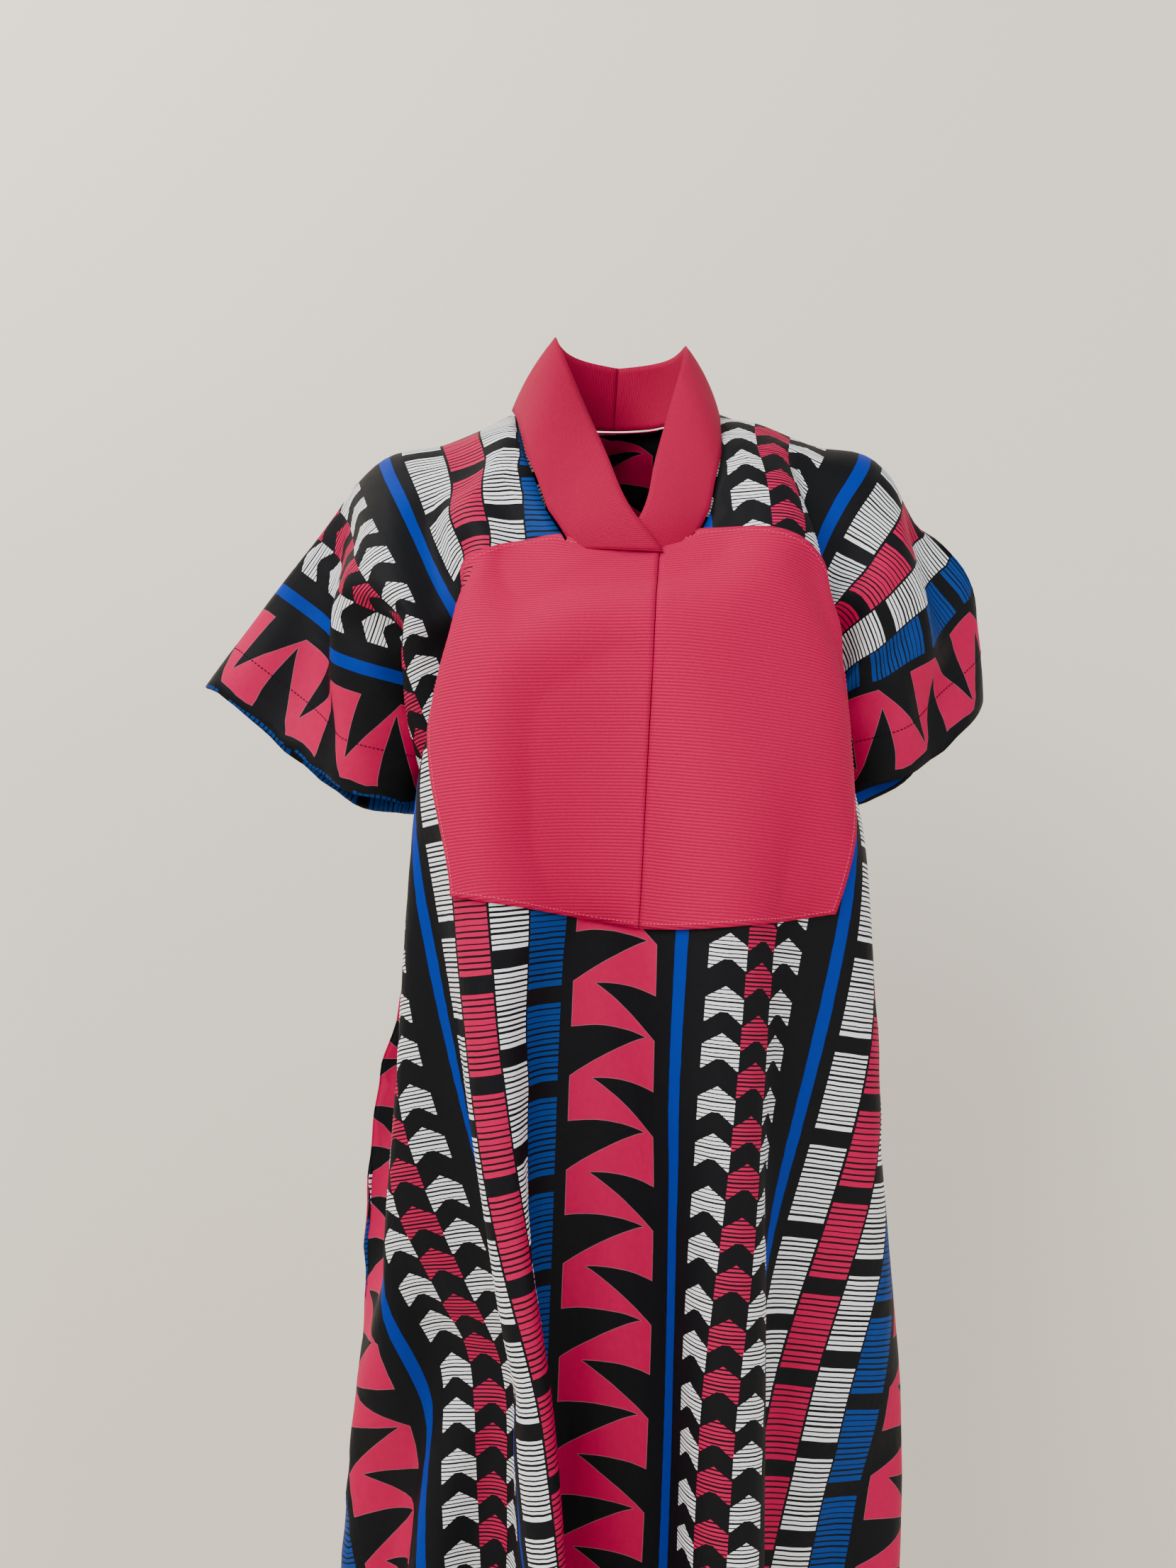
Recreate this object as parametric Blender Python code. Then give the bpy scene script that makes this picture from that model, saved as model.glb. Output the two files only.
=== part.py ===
"""Grand boubou robe, worn: front and back with sleeves cut in one, collar bands and a bib in two halves.

Metres, +Z up. The front faces -Y and the wearer's right is -X. The origin is between the shoulders,
at the height where the neckline meets the shoulder line. Run it with blender --background --python part.py.
"""

import math

import bpy
import numpy as np

# Walls and clearances
CLOTH_WALL = 0.0015
TRIM_WALL = 0.0012
SEAM_GAP = 0.0003

# The cut, flat: "across" is measured from the centre line, "down" from the shoulder line
HALF_SPAN = 0.455
NECK_ACROSS = 0.083
FRONT_NECK_DOWN = 0.155
BACK_NECK_DOWN = 0.022
ARMPIT_ACROSS = 0.285
WAIST_DOWN_CENTRE = 0.460
WAIST_POWER = 1.5
ARMPIT_DOWN = 0.340
SIDE_START = 0.7  # the share of ARMPIT_ACROSS from which the side seam draws the waist up
LENGTH = 1.330
HEM_RISE = 0.030
HEM_HALF = 0.470
BREAST_SHARE = 0.52

# Heights on the figure
BREAST_Z = -0.235
WAIST_Z = -0.420
ARMPIT_Z = -0.335
KNEE_Z = -0.950
HEM_Z = -1.285

# The shoulder line: from the neck it follows the shoulder, bends over its point, and falls along the sleeve
BEND_START = 0.180
BEND_END = 0.260
SHOULDER_Y = 0.010
CUFF_Y = -0.020
NECK_BACK_Y = 0.066
SHOULDER_LINE = {  # side of the wearer: x of the neck point, slope of the shoulder, slope of the sleeve
    "right": {"neck_x": -0.092, "shoulder_slope": 19.0, "sleeve_slope": 62.0},
    "left": {"neck_x": 0.074, "shoulder_slope": 20.0, "sleeve_slope": 66.0},
}

# Each row is a line down the cloth, a crest, a valley or the side of one. It starts "across" from the
# centre line, and lies at x, y on the breast, at the waist and at the knee, where it is "knee_across".
LINE_COLUMNS = ("across", "breast_x", "breast_y", "waist_x", "waist_y", "knee_across", "knee_x", "knee_y")
FRONT_LINES = [
    (-0.285, -0.206, -0.046, -0.181, 0.004, -0.410, -0.240, 0.005),
    (-0.240, -0.186, -0.058, -0.174, -0.040, -0.315, -0.190, -0.060),
    (-0.200, -0.167, -0.084, -0.157, -0.075, -0.235, -0.122, -0.120),
    (-0.160, -0.142, -0.106, -0.130, -0.108, -0.160, -0.050, -0.170),
    (-0.120, -0.110, -0.118, -0.092, -0.122, -0.120, -0.046, -0.130),
    (-0.080, -0.074, -0.125, -0.062, -0.103, -0.080, -0.046, -0.088),
    (-0.035, -0.034, -0.128, -0.032, -0.082, -0.035, -0.032, -0.056),
    (0.035, 0.036, -0.128, 0.034, -0.082, 0.035, 0.028, -0.056),
    (0.075, 0.072, -0.124, 0.068, -0.092, 0.075, 0.037, -0.095),
    (0.110, 0.106, -0.116, 0.098, -0.102, 0.110, 0.048, -0.125),
    (0.150, 0.142, -0.102, 0.134, -0.098, 0.150, 0.076, -0.148),
    (0.195, 0.172, -0.080, 0.166, -0.070, 0.205, 0.118, -0.125),
    (0.240, 0.186, -0.056, 0.178, -0.035, 0.300, 0.164, -0.060),
    (0.285, 0.204, -0.046, 0.184, 0.004, 0.410, 0.234, 0.008),
]
BACK_LINES = [
    (-0.285, -0.206, 0.050, -0.181, 0.004, -0.410, -0.240, 0.005),
    (-0.240, -0.188, 0.052, -0.174, 0.046, -0.315, -0.200, 0.075),
    (-0.190, -0.168, 0.070, -0.158, 0.085, -0.220, -0.135, 0.130),
    (-0.130, -0.126, 0.087, -0.112, 0.112, -0.140, -0.088, 0.172),
    (-0.080, -0.079, 0.094, -0.066, 0.108, -0.080, -0.060, 0.125),
    (0.000, 0.000, 0.096, 0.000, 0.098, 0.000, -0.006, 0.090),
    (0.080, 0.079, 0.094, 0.070, 0.106, 0.080, 0.050, 0.120),
    (0.130, 0.126, 0.087, 0.118, 0.110, 0.135, 0.082, 0.163),
    (0.190, 0.168, 0.070, 0.160, 0.085, 0.215, 0.138, 0.126),
    (0.240, 0.188, 0.052, 0.178, 0.045, 0.310, 0.202, 0.070),
    (0.285, 0.204, 0.050, 0.184, 0.004, 0.410, 0.234, 0.008),
]
HEM_SPREAD = 0.50  # how far a skirt line goes on past the knee, of what it would straight on

# Sleeve lines outside the armpit line: halfway down (front and back) and on the underarm seam
SLEEVE_COLUMNS = ("across", "mid_x", "front_y", "back_y", "mid_z", "under_x", "under_y", "under_z")
SLEEVE_LINES = [
    (0.330, 0.246, -0.062, 0.058, -0.258, 0.203, 0.002, -0.348),
    (0.390, 0.278, -0.070, 0.056, -0.296, 0.224, -0.004, -0.374),
    (0.455, 0.305, -0.070, 0.046, -0.338, 0.240, -0.010, -0.392),
]
SLEEVE_IN = {"right": 0.0, "left": -0.010}  # how far the wearer's left sleeve lies closer to the body

# The collar's free edge on the wearer's right, as x, y, z from the band's front end to near the centre back
COLLAR_TOP = [
    (0.016, -0.103, -0.132),
    (-0.004, -0.098, -0.100),
    (-0.036, -0.056, -0.006),
    (-0.056, 0.004, 0.055),
    (-0.046, 0.048, 0.054),
]
COLLAR_PEAK_ROW = 3
COLLAR_CENTRE_BACK = (-0.006, 0.068, 0.048)
COLLAR_MIRROR_X = -0.006
COLLAR_FRONT_END = 0.34  # how far from the centre line the band's front end meets the neckline, of NECK_ACROSS
COLLAR_CROSSING = 0.34  # the share of the band, from its front end, over which the right band rises over the left
COLLAR_ROLL = 0.003
COLLAR_LIFT = 0.0018
COLLAR_EASE = 0.0020

# The bib lies on the front, over the bands' ends
BIB_CENTRE = 0.008
BIB_HALF_TOP = 0.168
BIB_HALF_BOTTOM = 0.160
BIB_TOP_DOWN = 0.130
BIB_CORNER_DOWN = 0.385
BIB_POINT_DOWN = 0.462
BIB_EDGE_POWER = 1.3
BIB_LIFT = 0.0036
BIB_OVER_COLLAR = 0.0036
BIB_RISE_ACROSS = 0.085
BIB_RISE_DOWN = 0.060

# How finely the cloth is divided
SHOULDER_STEPS = 40
SIDE_COLUMNS = 11
NECK_COLUMNS = 10
UPPER_ROWS = 10
SKIRT_ROWS = 13
SLEEVE_STEPS = 6
COLLAR_FRONT_STEPS = 12
COLLAR_BACK_STEPS = 8
COLLAR_ROWS = 3
BIB_COLUMNS = 10
BIB_ROWS = 16

PRINT_COTTON = (0.012, 0.012, 0.015, 1.0)
CRIMSON_RIB = (0.597, 0.008, 0.069, 1.0)
ROUGHNESS = 0.85
TINY = 1e-9


def table(columns, rows):
    """A table's rows as one array for each column name."""
    return dict(zip(columns, np.array(rows).T))


def spline(knots, values, at):
    """Natural cubic spline through values at knots, read at the places in at."""
    steps = np.diff(knots)
    count = len(knots)
    matrix = np.eye(count)
    right = np.zeros(count)
    for i in range(1, count - 1):
        matrix[i, i - 1 : i + 2] = (steps[i - 1], 2 * (steps[i - 1] + steps[i]), steps[i])
        right[i] = 6 * ((values[i + 1] - values[i]) / steps[i] - (values[i] - values[i - 1]) / steps[i - 1])
    bend = np.linalg.solve(matrix, right)
    cell = np.clip(np.searchsorted(knots, at) - 1, 0, count - 2)
    width = steps[cell]
    near = at - knots[cell]
    far = knots[cell + 1] - at
    curved = (bend[cell] * far**3 + bend[cell + 1] * near**3) / (6 * width)
    low = (values[cell] / width - bend[cell] * width / 6) * far
    high = (values[cell + 1] / width - bend[cell + 1] * width / 6) * near
    return curved + low + high


def quadratic(at, places, points):
    """The parabola through three points, each met at its place."""
    a, b, c = places
    share_a = (at - b) * (at - c) / ((a - b) * (a - c))
    share_b = (at - a) * (at - c) / ((b - a) * (b - c))
    share_c = (at - a) * (at - b) / ((c - a) * (c - b))
    return share_a * points[0] + share_b * points[1] + share_c * points[2]


def smooth(value):
    value = np.clip(value, 0.0, 1.0)
    return value * value * (3 - 2 * value)


def side_of(across):
    return "right" if across < 0 else "left"


def shoulder_point(across):
    """A point of the shoulder line. Inside the neck hole it is only a guide."""
    line = SHOULDER_LINE[side_of(across)]
    sign = -1 if across < 0 else 1
    out = abs(across)
    if out <= NECK_ACROSS:
        right, left = SHOULDER_LINE["right"]["neck_x"], SHOULDER_LINE["left"]["neck_x"]
        share = (across + NECK_ACROSS) / (2 * NECK_ACROSS)
        return np.array([right + (left - right) * share, SHOULDER_Y, 0.0])
    steps = np.linspace(NECK_ACROSS, out, SHOULDER_STEPS + 1)
    middles = (steps[1:] + steps[:-1]) / 2
    turn = smooth((middles - BEND_START) / (BEND_END - BEND_START))
    slope = np.radians(line["shoulder_slope"] + (line["sleeve_slope"] - line["shoulder_slope"]) * turn)
    step = steps[1] - steps[0]
    x = line["neck_x"] + sign * step * np.cos(slope).sum()
    z = -step * np.sin(slope).sum()
    y = SHOULDER_Y + (CUFF_Y - SHOULDER_Y) * (out - NECK_ACROSS) / (HALF_SPAN - NECK_ACROSS)
    return np.array([x, y, z])


def waist_down(across):
    """How far down the cloth the waist level comes: less at the sides, which hang from lower on the shoulder."""
    return WAIST_DOWN_CENTRE - (WAIST_DOWN_CENTRE - ARMPIT_DOWN) * (abs(across) / ARMPIT_ACROSS) ** WAIST_POWER


def hem_down(across):
    return LENGTH - HEM_RISE * (across / HEM_HALF) ** 2


def neck_down(across, face):
    """How far down the neck hole reaches, on the front (a V) or the back (a shallow curve)."""
    share = abs(across) / NECK_ACROSS
    if share >= 1:
        return 0.0
    if face == "front":
        return FRONT_NECK_DOWN * (1 - share)
    return BACK_NECK_DOWN * (1 - share**2)


class Panel:
    """The front or the back: its place in space for each place on its flat cut."""

    def __init__(self, face, rows):
        self.face = face
        self.lines = table(LINE_COLUMNS, rows)

    def read(self, column, across):
        return float(spline(self.lines["across"], self.lines[column], np.array([across]))[0])

    def controls(self, across):
        """Points on the shoulder, the breast, the waist, the knee and the hem of one line down the cloth."""
        side = smooth((abs(across) / ARMPIT_ACROSS - SIDE_START) / (1 - SIDE_START))
        shoulder = shoulder_point(across)
        if self.face == "back" and abs(across) < NECK_ACROSS:
            round_neck = math.sqrt(1 - (across / NECK_ACROSS) ** 2)
            shoulder[1] += (NECK_BACK_Y - SHOULDER_Y) * round_neck
        breast = np.array([self.read("breast_x", across), self.read("breast_y", across), BREAST_Z])
        waist_z = WAIST_Z + (ARMPIT_Z - WAIST_Z) * side
        waist = np.array([self.read("waist_x", across), self.read("waist_y", across), waist_z])
        knee = np.array([self.read("knee_x", across), self.read("knee_y", across), KNEE_Z])
        hem = knee + (knee - waist) * HEM_SPREAD * (KNEE_Z - HEM_Z) / (WAIST_Z - KNEE_Z)
        hem[2] = HEM_Z
        return shoulder, breast, waist, knee, hem

    def upper(self, across, down):
        """Above the waist: a cubic from the shoulder by way of the breast that runs on into the skirt."""
        shoulder, breast, waist, knee = self.controls(across)[:4]
        full = waist_down(across)
        fall = (knee - waist) / (WAIST_Z - KNEE_Z) * full
        back = down / full - 1
        bend = BREAST_SHARE - 1
        first = shoulder - waist + fall
        second = (breast - waist - fall * bend) / bend**2
        rate = (second - first) / (bend + 1)
        return waist + fall * back + back**2 * (first + rate + rate * back)

    def skirt(self, across, share):
        """Below the waist: share 0 is the waist and 1 the hem."""
        knee_share = (WAIST_Z - KNEE_Z) / (WAIST_Z - HEM_Z)
        return quadratic(share, (0.0, knee_share, 1.0), self.controls(across)[2:])

    def point(self, across, down):
        """A point of the middle of the panel, where each line stays the same distance across."""
        full = waist_down(across)
        if down <= full:
            return self.upper(across, down)
        return self.skirt(across, (down - full) / (hem_down(across) - full))

    def body(self):
        """The body's points, in rows from the neckline or shoulder to the hem."""
        sides = np.linspace(NECK_ACROSS, ARMPIT_ACROSS, SIDE_COLUMNS + 1)
        middle = np.linspace(-NECK_ACROSS, NECK_ACROSS, NECK_COLUMNS + 1)
        columns = []
        for across in np.concatenate([-sides[:0:-1], middle, sides[1:]]):
            downs = np.linspace(neck_down(across, self.face), waist_down(across), UPPER_ROWS + 1)
            shares = np.linspace(0, 1, SKIRT_ROWS + 1)[1:]
            column = [self.upper(across, down) for down in downs]
            columns.append(column + [self.skirt(across, share) for share in shares])
        return np.array(columns).transpose(1, 0, 2)

    def sleeve(self, side):
        """One sleeve's points, in rows from the shoulder line to the underarm seam, from the body outward."""
        sign = -1 if side == "right" else 1
        lines = table(SLEEVE_COLUMNS, SLEEVE_LINES)
        shares = np.linspace(0, 1, UPPER_ROWS + 1)
        edge = sign * ARMPIT_ACROSS
        runs = [np.array([self.upper(edge, share * ARMPIT_DOWN) for share in shares])]
        for i, across in enumerate(lines["across"]):
            top = shoulder_point(sign * across)
            inward = SLEEVE_IN[side]
            mid = np.array([lines["mid_x"][i] + inward, lines[self.face + "_y"][i], lines["mid_z"][i]])
            under = np.array([lines["under_x"][i] + inward, lines["under_y"][i], lines["under_z"][i]])
            mid[0] *= sign
            under[0] *= sign
            runs.append(np.array([quadratic(share, (0.0, 0.5, 1.0), (top, mid, under)) for share in shares]))
        knots = np.concatenate([[ARMPIT_ACROSS], lines["across"]])
        places = np.linspace(ARMPIT_ACROSS, HALF_SPAN, SLEEVE_STEPS + 1)
        rows = []
        for j in range(UPPER_ROWS + 1):
            along = np.array([run[j] for run in runs])
            rows.append(np.stack([spline(knots, along[:, axis], places) for axis in range(3)], axis=1))
        rows[0] = np.array([shoulder_point(sign * place) for place in places])
        return np.array(rows)


def grid_normals(grid):
    """Unit normals of a grid of points, to the side from which its rows run down and its columns to the right."""
    down = np.gradient(grid, axis=0)
    across = np.gradient(grid, axis=1)
    normals = np.cross(down, across)
    return normals / np.maximum(np.linalg.norm(normals, axis=2, keepdims=True), TINY)


class Shell:
    """A mesh of grids that share their edge points, thickened to a closed wall."""

    def __init__(self):
        self.points = []
        self.normals = []
        self.faces = []
        self.places = {}

    def add(self, grid, normals=None):
        normals = grid_normals(grid) if normals is None else normals
        rows, columns = grid.shape[:2]
        index = np.empty((rows, columns), int)
        for j in range(rows):
            for i in range(columns):
                key = tuple(np.round(grid[j, i], 6))
                if key not in self.places:
                    self.places[key] = len(self.points)
                    self.points.append(grid[j, i])
                    self.normals.append(np.zeros(3))
                index[j, i] = self.places[key]
                self.normals[index[j, i]] = self.normals[index[j, i]] + normals[j, i]
        for j in range(rows - 1):
            for i in range(columns - 1):
                self.faces.append((index[j, i], index[j + 1, i], index[j + 1, i + 1], index[j, i + 1]))
        return index

    def unit_normals(self):
        normals = np.array(self.normals)
        return normals / np.linalg.norm(normals, axis=1, keepdims=True)

    def build(self, name, wall, color, moved=None, inward=None):
        """The object: the outer face is the grid, moved if asked, and the inner one lies a wall further in."""
        points = np.array(self.points)
        if moved is not None:
            points = points + moved
        inward = -self.unit_normals() if inward is None else inward
        count = len(points)
        both = np.concatenate([points, points + inward * wall])
        faces = list(self.faces) + [tuple(count + i for i in reversed(face)) for face in self.faces]
        edges = {}
        for face in self.faces:
            for a, b in zip(face, face[1:] + face[:1]):
                edges[(a, b)] = edges.get((a, b), 0) + 1
        for a, b in edges:
            if (b, a) not in edges:
                faces.append((b, a, count + a, count + b))
        mesh = bpy.data.meshes.new(name)
        mesh.from_pydata(both.tolist(), [], [tuple(int(i) for i in face) for face in faces])
        mesh.validate()
        mesh.shade_smooth()
        mesh.materials.append(plain_material(name, color))
        item = bpy.data.objects.new(name, mesh)
        bpy.context.scene.collection.objects.link(item)
        return item


def plain_material(name, color):
    material = bpy.data.materials.new(name + "_cloth")
    material.use_nodes = True
    shader = material.node_tree.nodes["Principled BSDF"]
    shader.inputs["Base Color"].default_value = color
    shader.inputs["Roughness"].default_value = ROUGHNESS
    shader.inputs["Metallic"].default_value = 0.0
    return material


def panel_shell(panel):
    """The panel's body and sleeves as one shell, its normals outward, and the points that its seams share."""
    shell = Shell()
    flip = 1 if panel.face == "front" else -1
    body = panel.body()
    shell.add(body, grid_normals(body) * flip)
    for side in ("right", "left"):
        sleeve = panel.sleeve(side)
        if side == "right":
            sleeve = sleeve[:, ::-1]
        shell.add(sleeve, grid_normals(sleeve) * flip)
    if flip < 0:
        shell.faces = [tuple(reversed(face)) for face in shell.faces]
    return shell


def build_panels(front, back):
    """Front and back with their seams mitred: shared seam points part along the seam's own plane."""
    shells = {panel.face: panel_shell(panel) for panel in (front, back)}
    normals = {face: shell.unit_normals() for face, shell in shells.items()}
    shared = set(shells["front"].places) & set(shells["back"].places)
    moved = {face: np.zeros((len(shell.points), 3)) for face, shell in shells.items()}
    inward = {face: -normals[face] for face in shells}
    for key in shared:
        at = {face: shell.places[key] for face, shell in shells.items()}
        front_normal = normals["front"][at["front"]]
        back_normal = normals["back"][at["back"]]
        mitre = front_normal + back_normal
        mitre /= np.linalg.norm(mitre)
        apart = back_normal - front_normal
        apart -= mitre * apart.dot(mitre)
        apart /= np.linalg.norm(apart)
        for face, sign in (("front", -1), ("back", 1)):
            inward[face][at[face]] = -mitre
            moved[face][at[face]] = apart * sign * SEAM_GAP / 2
    for face, shell in shells.items():
        shell.build(face, CLOTH_WALL, PRINT_COTTON, moved[face], inward[face])


def build_collar(side, front, back):
    """One band: from the neckline to its free edge, with the right band lying over the left one in front."""
    sign = -1 if side == "right" else 1
    front_places = np.linspace(COLLAR_FRONT_END, 1, COLLAR_FRONT_STEPS + 1) * NECK_ACROSS
    back_places = np.linspace(1, 0, COLLAR_BACK_STEPS + 1)[1:] * NECK_ACROSS
    base = [front.point(sign * place, neck_down(place, "front")) for place in front_places]
    base += [back.point(sign * place, neck_down(place, "back")) for place in back_places]
    base = np.array(base)
    edge = np.array(COLLAR_TOP)
    if side == "left":
        edge[:, 0] = 2 * COLLAR_MIRROR_X - edge[:, 0]
    edge = np.concatenate([edge, [COLLAR_CENTRE_BACK]])
    knots = np.concatenate([[0], np.cumsum(np.linalg.norm(np.diff(edge, axis=0), axis=1))])
    peak = knots[COLLAR_PEAK_ROW]
    front_part = np.linspace(0, peak, COLLAR_FRONT_STEPS + 1)
    back_part = np.linspace(peak, knots[-1], COLLAR_BACK_STEPS + 1)[1:]
    places = np.concatenate([front_part, back_part])
    top = np.stack([spline(knots, edge[:, axis], places) for axis in range(3)], axis=1)
    shares = np.linspace(0, 1, COLLAR_ROWS + 1)[:, None, None]
    grid = base + (top - base) * shares
    normals = facing_front(grid_normals(grid))
    normals[:, -1, 0] = 0.0
    normals /= np.linalg.norm(normals, axis=2, keepdims=True)
    rolled = COLLAR_ROLL * 4 * shares * (1 - shares)
    upward = top - base
    upward /= np.linalg.norm(upward, axis=1, keepdims=True)
    layer = (TRIM_WALL + SEAM_GAP + COLLAR_EASE) * (1 if side == "right" else 0)
    raised = COLLAR_LIFT + layer * (1 - smooth(places / places[-1] / COLLAR_CROSSING))[None, :, None]
    grid = grid + normals * (rolled + raised) + upward * COLLAR_LIFT
    grid[:, -1, 0] += sign * SEAM_GAP / 2
    return build_strip("collar_" + side, grid, normals)


def build_bib(front):
    """The bib's halves, made from the front's points and moved out, with one seam down the middle."""
    shares = np.linspace(-1, 1, 2 * BIB_COLUMNS + 1)
    points = []
    lifts = []
    for t in np.linspace(0, 1, BIB_ROWS + 1):
        half = BIB_HALF_TOP + (BIB_HALF_BOTTOM - BIB_HALF_TOP) * t
        for share in shares:
            bottom = BIB_POINT_DOWN - (BIB_POINT_DOWN - BIB_CORNER_DOWN) * abs(share) ** BIB_EDGE_POWER
            across = BIB_CENTRE + half * share
            down = BIB_TOP_DOWN + (bottom - BIB_TOP_DOWN) * t
            points.append(front.point(across, down))
            near = max(abs(across) / BIB_RISE_ACROSS, (down - BIB_TOP_DOWN) / BIB_RISE_DOWN)
            lifts.append(BIB_LIFT + BIB_OVER_COLLAR * (1 - smooth(near)))
    shape = (BIB_ROWS + 1, 2 * BIB_COLUMNS + 1)
    grid = np.array(points).reshape(*shape, 3)
    normals = facing_front(grid_normals(grid))
    normals[:, BIB_COLUMNS, 0] = 0.0
    normals /= np.linalg.norm(normals, axis=2, keepdims=True)
    grid = grid + normals * np.array(lifts).reshape(*shape, 1)
    for side, sign, part in (("right", -1, slice(None, BIB_COLUMNS + 1)), ("left", 1, slice(BIB_COLUMNS, None))):
        half = grid[:, part].copy()
        half[:, -1 if side == "right" else 0, 0] += sign * SEAM_GAP / 2
        build_strip("bib_" + side, half, normals[:, part])


def facing_front(normals):
    return normals if normals[0, 0, 1] < 0 else -normals


def build_strip(name, grid, normals):
    """A single grid as a closed wall, its outer face on the side of the normals."""
    shell = Shell()
    shell.add(grid, normals)
    first = [shell.points[i] for i in shell.faces[0]]
    turned = np.cross(first[1] - first[0], first[2] - first[0]).dot(normals[0, 0])
    if turned < 0:
        shell.faces = [tuple(reversed(face)) for face in shell.faces]
    return shell.build(name, TRIM_WALL, CRIMSON_RIB)


def main():
    for item in list(bpy.data.objects):
        bpy.data.objects.remove(item)
    front = Panel("front", FRONT_LINES)
    back = Panel("back", BACK_LINES)
    build_panels(front, back)
    for side in ("right", "left"):
        build_collar(side, front, back)
    build_bib(front)


main()
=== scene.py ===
import math

import bmesh
import bpy
import numpy as np
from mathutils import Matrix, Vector
from mathutils.bvhtree import BVHTree
from mathutils.geometry import delaunay_2d_cdt


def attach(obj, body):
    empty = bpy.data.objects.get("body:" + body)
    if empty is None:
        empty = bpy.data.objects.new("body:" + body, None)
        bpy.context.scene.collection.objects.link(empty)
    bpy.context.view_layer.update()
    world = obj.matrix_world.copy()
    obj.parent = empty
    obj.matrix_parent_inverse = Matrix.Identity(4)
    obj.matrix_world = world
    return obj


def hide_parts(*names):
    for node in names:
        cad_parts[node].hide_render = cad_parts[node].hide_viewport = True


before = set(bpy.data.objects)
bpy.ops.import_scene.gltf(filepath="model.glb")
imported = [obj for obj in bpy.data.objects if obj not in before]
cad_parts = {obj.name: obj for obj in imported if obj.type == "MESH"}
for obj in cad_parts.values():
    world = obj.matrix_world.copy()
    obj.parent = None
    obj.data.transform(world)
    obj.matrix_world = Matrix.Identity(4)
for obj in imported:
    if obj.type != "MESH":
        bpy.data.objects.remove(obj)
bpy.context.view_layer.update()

# The cut of the front and the back, in metres. u runs to the wearer's left and v down the cloth.
HALF_SPAN = 0.450
SLEEVE_DEPTH = 0.268
UNDERARM_U = 0.350
UNDERARM_V = 0.318
HEM_U = 0.540
LENGTH = 1.330
HEM_RISE = 0.012
NECK_U = 0.085
FRONT_NECK = [(0.0, 0.186), (0.046, 0.180), (0.064, 0.146), (0.077, 0.090), (NECK_U, 0.0)]
BACK_NECK = [(0.03, 0.022), (0.06, 0.014), (NECK_U, 0.0)]
STEP = 0.019
LATTICE_REACH = 0.66
INSIDE_SHARE = 0.62  # lattice points stay this share of a step away from the cut's edge

# The panels before they are sewn: lines down the middle of the front and the back, as (y, z)
FRONT_LINE = [(0.020, 0.0), (-0.012, -0.012), (-0.040, -0.034), (-0.068, -0.066), (-0.090, -0.110)]
FRONT_LINE += [(-0.104, -0.160), (-0.112, -0.205), (-0.115, -0.25), (-0.116, -0.30), (-0.118, -1.6)]
BACK_LINE = [(0.020, 0.0), (0.048, -0.010), (0.078, -0.032), (0.102, -0.070), (0.116, -0.120)]
BACK_LINE += [(0.122, -0.180), (0.126, -0.25), (0.132, -0.50), (0.134, -1.6)]
# Folds laid into the skirt before sewing: how far each line down the cloth lies out, as (u, y)
FRONT_FOLDS = [
    (-0.60, 0.14), (-0.37, 0.035), (-0.165, -0.068), (-0.150, -0.064), (-0.052, 0.022),
    (0.056, 0.022), (0.115, -0.030), (0.170, -0.038), (0.260, 0.0), (0.60, 0.17),
]
BACK_FOLDS = [
    (-0.60, -0.14), (-0.27, -0.030), (-0.135, 0.050), (-0.010, -0.020), (0.125, 0.044),
    (0.250, -0.030), (0.60, -0.14),
]
FOLD_REACH = 0.62  # how far across from the middle the folds are worked out
FOLD_ROUNDS = 70
STEEPEST = 0.1  # the squared cosine of the steepest slope that a fold may take
FOLD_START, FOLD_FULL = 0.44, 0.86  # how far down the cloth the folds begin and reach their depth
NAPE = {"width": 0.05, "down": 0.022, "depth": 0.05, "rise": 0.024}
# The neck's sideways shift at the top and at the V, and how wide and how far down it fades
NECK_SHIFT = (-0.0115, 0.002, 0.20)
NECK_SHIFT_DOWN = 0.5

# The cloth while it is dressed on a plain figure
FRAMES = 125
HOLD = 22
SWING = 30
VERTEX_MASS = 0.03
STRETCH = 20
SHEAR = 10
BEND = 0.3
STIFF_TIMES = 16
SEWING = 15
SLEEVE_STIFF = 0.30
SLEEVE_FROM, SLEEVE_TO = 0.24, 0.30  # the stiffer sleeve starts this far out and ends this far down
ARM_ANGLE = {-1: (88, 9), 1: (88, 9)}
# Boards that gather the skirt into its folds: each row is z and how far from the middle the board ends up
SIDE_BOARDS = {
    -1: [(-0.47, 0.198), (-0.56, 0.221), (-0.70, 0.238), (-0.85, 0.247), (-1.10, 0.250), (-1.42, 0.256)],
    1: [(-0.47, 0.196), (-0.56, 0.217), (-0.70, 0.231), (-0.85, 0.238), (-1.10, 0.242), (-1.42, 0.248)],
}
FACE_BOARDS = {
    -1: [(-0.62, 0.185), (-0.90, 0.186), (-1.15, 0.190), (-1.42, 0.196)],
    1: [(-0.62, 0.186), (-0.90, 0.190), (-1.15, 0.194), (-1.42, 0.200)],
}
BOARD_START = {0: 0.45, 1: 0.24}  # how much further out the side and the face boards start
BOARD_FRAMES = (8, 62)
BOARD_WALL = 0.012
BOARD_HALF = 0.50  # half of a board's width along the cloth
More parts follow.
